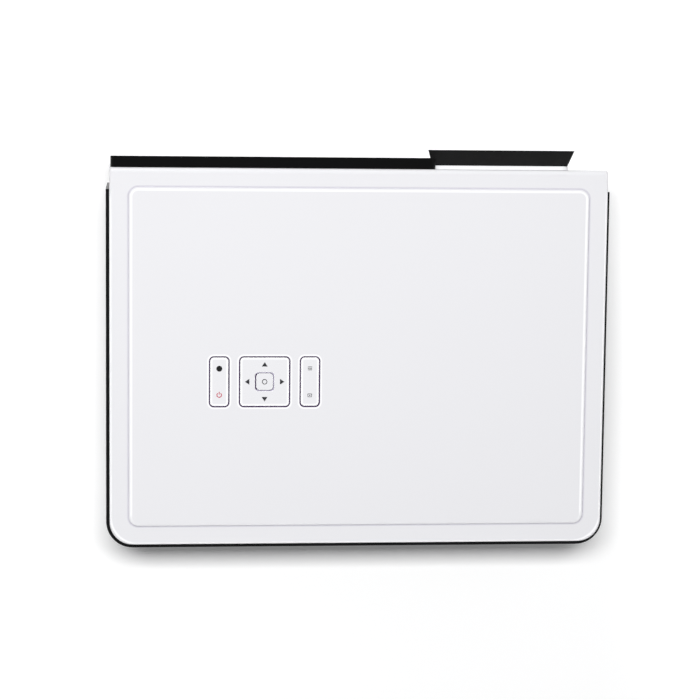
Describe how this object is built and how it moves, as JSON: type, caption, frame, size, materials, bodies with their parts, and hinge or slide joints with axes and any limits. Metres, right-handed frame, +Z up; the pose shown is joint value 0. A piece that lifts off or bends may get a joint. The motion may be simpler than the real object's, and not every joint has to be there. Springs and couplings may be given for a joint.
{
  "type": "projector with built in disc player",
  "caption": "Home projector with a flared lens hood, top keypad, banded case and a tray-loading disc player behind its front panel.",
  "frame": {"origin": "centre of the bounding box at the level of the feet", "axes": "+Z up, -Y out of the lens side (the front), +X towards the disc tray side"},
  "size_m": [0.3266, 0.2592, 0.1128],
  "materials": {
    "cover_white": "high-gloss injection moulded white",
    "key_white": "gloss white with printed symbols",
    "panel_black": "gloss black",
    "hood_black": "satin black",
    "trim_black": "fine satin black",
    "ir_red": "dark red filter plastic",
    "rubber": "matte",
    "silicone": "matte translucent grey",
    "steel": "nickel plated",
    "plated_sheet": "zinc plated sheet",
    "heat_sink_metal": "bare extruded",
    "lens_glass": "coated optical glass",
    "plate_glass": "finely grooved clear plate",
    "picture_glass": "dark polarised glass",
    "copper_core": "copper core board",
    "brass_screw": "machined",
    "gear_ivory": "natural acetal",
    "board_green": "solder mask over glass fibre",
    "ribbon": "flat flexible cable"
  },
  "bodies": {
    "case": {"top_cover": "cover_white", "front_frame": "cover_white", "front_panel": "panel_black", "ir_window": "ir_red", "lens_collar": "cover_white", "lens_hood": "hood_black", "side_band": "panel_black", "side_grilles": "trim_black", "fan_grille": "trim_black", "bottom_case": "cover_white", "rubber_feet": "rubber", "case_screws": "steel", "lens_sleeve": "trim_black", "light_tunnel": "trim_black", "tunnel_lid": "trim_black", "picture_panel": "picture_glass", "fresnel_plates": "plate_glass", "condenser_lens": "lens_glass", "led_module": "copper_core", "heat_sink": "heat_sink_metal", "fan_frame": "trim_black", "loader_chassis": "plated_sheet", "loading_motor": "steel", "loading_belt": "rubber", "clamp_bridge": "plated_sheet", "main_board": "board_green", "power_board": "board_green", "power_inlet": "trim_black", "signal_sockets": "steel", "sound_jacks": "trim_black", "speakers": "trim_black", "keypad_board": "board_green", "keymat": "silicone", "ribbon_cables": "ribbon"},
    "tray": {"disc_tray": "trim_black", "tray_door": "panel_black"},
    "loading_gear": {"loading_gear": "gear_ivory"},
    "motor_pulley": {"motor_pulley": "gear_ivory"},
    "traverse": {"traverse_frame": "trim_black", "spindle_motor": "steel", "guide_rods": "steel", "sled_motor": "steel"},
    "turntable": {"turntable": "trim_black"},
    "pickup": {"pickup_sled": "trim_black"},
    "sled_screw": {"sled_screw": "brass_screw"},
    "puck": {"clamp_puck": "gear_ivory"},
    "fan": {"fan_rotor": "trim_black"},
    "lens": {"lens_barrel": "trim_black", "lens_elements": "lens_glass"},
    "focus_ring": {"focus_ring": "trim_black"},
    "eject": {"eject_button": "panel_black"},
    "power_key": {"power_key": "key_white"},
    "menu_key": {"menu_key": "key_white"},
    "pad_carrier": {"pad_carrier": "trim_black"},
    "direction_pad": {"direction_pad": "key_white"},
    "ok_key": {"ok_key": "key_white"},
    "mains_switch": {"power_switch": "trim_black"},
    "adjuster_pad": {"adjuster_pad": "rubber"},
    "adjuster_screw": {"adjuster_screw": "gear_ivory"}
  },
  "joints": [
    {"name": "tray_slide", "type": "slide", "parent": "case", "child": "tray", "axis": [0, -1, 0], "range_m": [0, 0.135]},
    {"name": "loading_gear_turn", "type": "hinge", "parent": "case", "child": "loading_gear", "pos_m": [0.013, -0.08938, 0.0722], "axis": [0, 0, -1], "range_deg": [0, 773.99]},
    {"name": "motor_turn", "type": "hinge", "parent": "case", "child": "motor_pulley", "pos_m": [0.05, -0.08938, 0.0658], "axis": [0, 0, -1], "range_deg": [0, 3352.8]},
    {"name": "traverse_lift", "type": "hinge", "parent": "case", "child": "traverse", "pos_m": [0.07, 0.04462, 0.063], "axis": [-1, 0, 0], "range_deg": [0, 7]},
    {"name": "turntable_spin", "type": "hinge", "parent": "traverse", "child": "turntable", "pos_m": [0.07, -0.02904, 0.07209], "axis": [0, -0.1219, 0.9925], "continuous": true},
    {"name": "pickup_travel", "type": "slide", "parent": "traverse", "child": "pickup", "axis": [0, 0.9925, 0.1219], "range_m": [0, 0.024]},
    {"name": "sled_screw_turn", "type": "hinge", "parent": "traverse", "child": "sled_screw", "pos_m": [0.096, -0.00971, 0.06237], "axis": [0, 0.9925, 0.1219], "range_deg": [0, 2881]},
    {"name": "clamp_spin", "type": "hinge", "parent": "case", "child": "puck", "pos_m": [0.07, -0.02738, 0.09], "axis": [0, 0, 1], "continuous": true},
    {"name": "fan_spin", "type": "hinge", "parent": "case", "child": "fan", "pos_m": [-0.093, 0.11462, 0.059], "axis": [0, 1, 0], "continuous": true},
    {"name": "lens_focus", "type": "slide", "parent": "case", "child": "lens", "axis": [0, -1, 0], "range_m": [-0.003, 0.003]},
    {"name": "focus_ring_turn", "type": "hinge", "parent": "case", "child": "focus_ring", "pos_m": [-0.093, -0.11738, 0.059], "axis": [0, -1, 0], "range_deg": [-60.5, 60.5]},
    {"name": "eject_press", "type": "slide", "parent": "case", "child": "eject", "axis": [0, 0.9984, 0.0565], "range_m": [0, 0.0012], "stiffness_N_per_m": 250},
    {"name": "power_press", "type": "hinge", "parent": "case", "child": "power_key", "pos_m": [0.0906, 0.00622, 0.1086], "axis": [-1, 0, 0], "range_deg": [0, 1.1], "stiffness_Nm_per_rad": 0.3},
    {"name": "menu_rock", "type": "hinge", "parent": "case", "child": "menu_key", "pos_m": [0.032, 0.02002, 0.1086], "axis": [1, 0, 0], "range_deg": [-1, 1], "stiffness_Nm_per_rad": 0.3},
    {"name": "pad_rock_front_rear", "type": "hinge", "parent": "case", "child": "pad_carrier", "pos_m": [0.0613, 0.02002, 0.1086], "axis": [1, 0, 0], "range_deg": [-1, 1], "stiffness_Nm_per_rad": 0.3},
    {"name": "pad_rock_side", "type": "hinge", "parent": "pad_carrier", "child": "direction_pad", "pos_m": [0.0613, 0.02002, 0.1086], "axis": [0, 1, 0], "range_deg": [-1, 1], "stiffness_Nm_per_rad": 0.3},
    {"name": "ok_press", "type": "slide", "parent": "case", "child": "ok_key", "axis": [0, 0, -1], "range_m": [0, 0.0008], "stiffness_N_per_m": 250},
    {"name": "mains_rock", "type": "hinge", "parent": "case", "child": "mains_switch", "pos_m": [0.014, 0.12262, 0.038], "axis": [1, 0, 0], "range_deg": [0, 14]},
    {"name": "adjuster_travel", "type": "slide", "parent": "case", "child": "adjuster_pad", "axis": [0, 0, -1], "range_m": [0, 0.018]},
    {"name": "adjuster_turn", "type": "hinge", "parent": "adjuster_pad", "child": "adjuster_screw", "pos_m": [0, -0.09538, 0.006], "axis": [0, 0, -1], "range_deg": [0, 5186]}
  ],
  "couplings": [
    {"joint": "loading_gear_turn", "follows": "tray_slide", "rad_per_m": 100},
    {"joint": "motor_turn", "follows": "tray_slide", "rad_per_m": 433.33},
    {"joint": "sled_screw_turn", "follows": "pickup_travel", "rad_per_m": 2094.4},
    {"joint": "focus_ring_turn", "follows": "lens_focus", "rad_per_m": 349.07},
    {"joint": "adjuster_turn", "follows": "adjuster_travel", "rad_per_m": 5026.5}
  ]
}
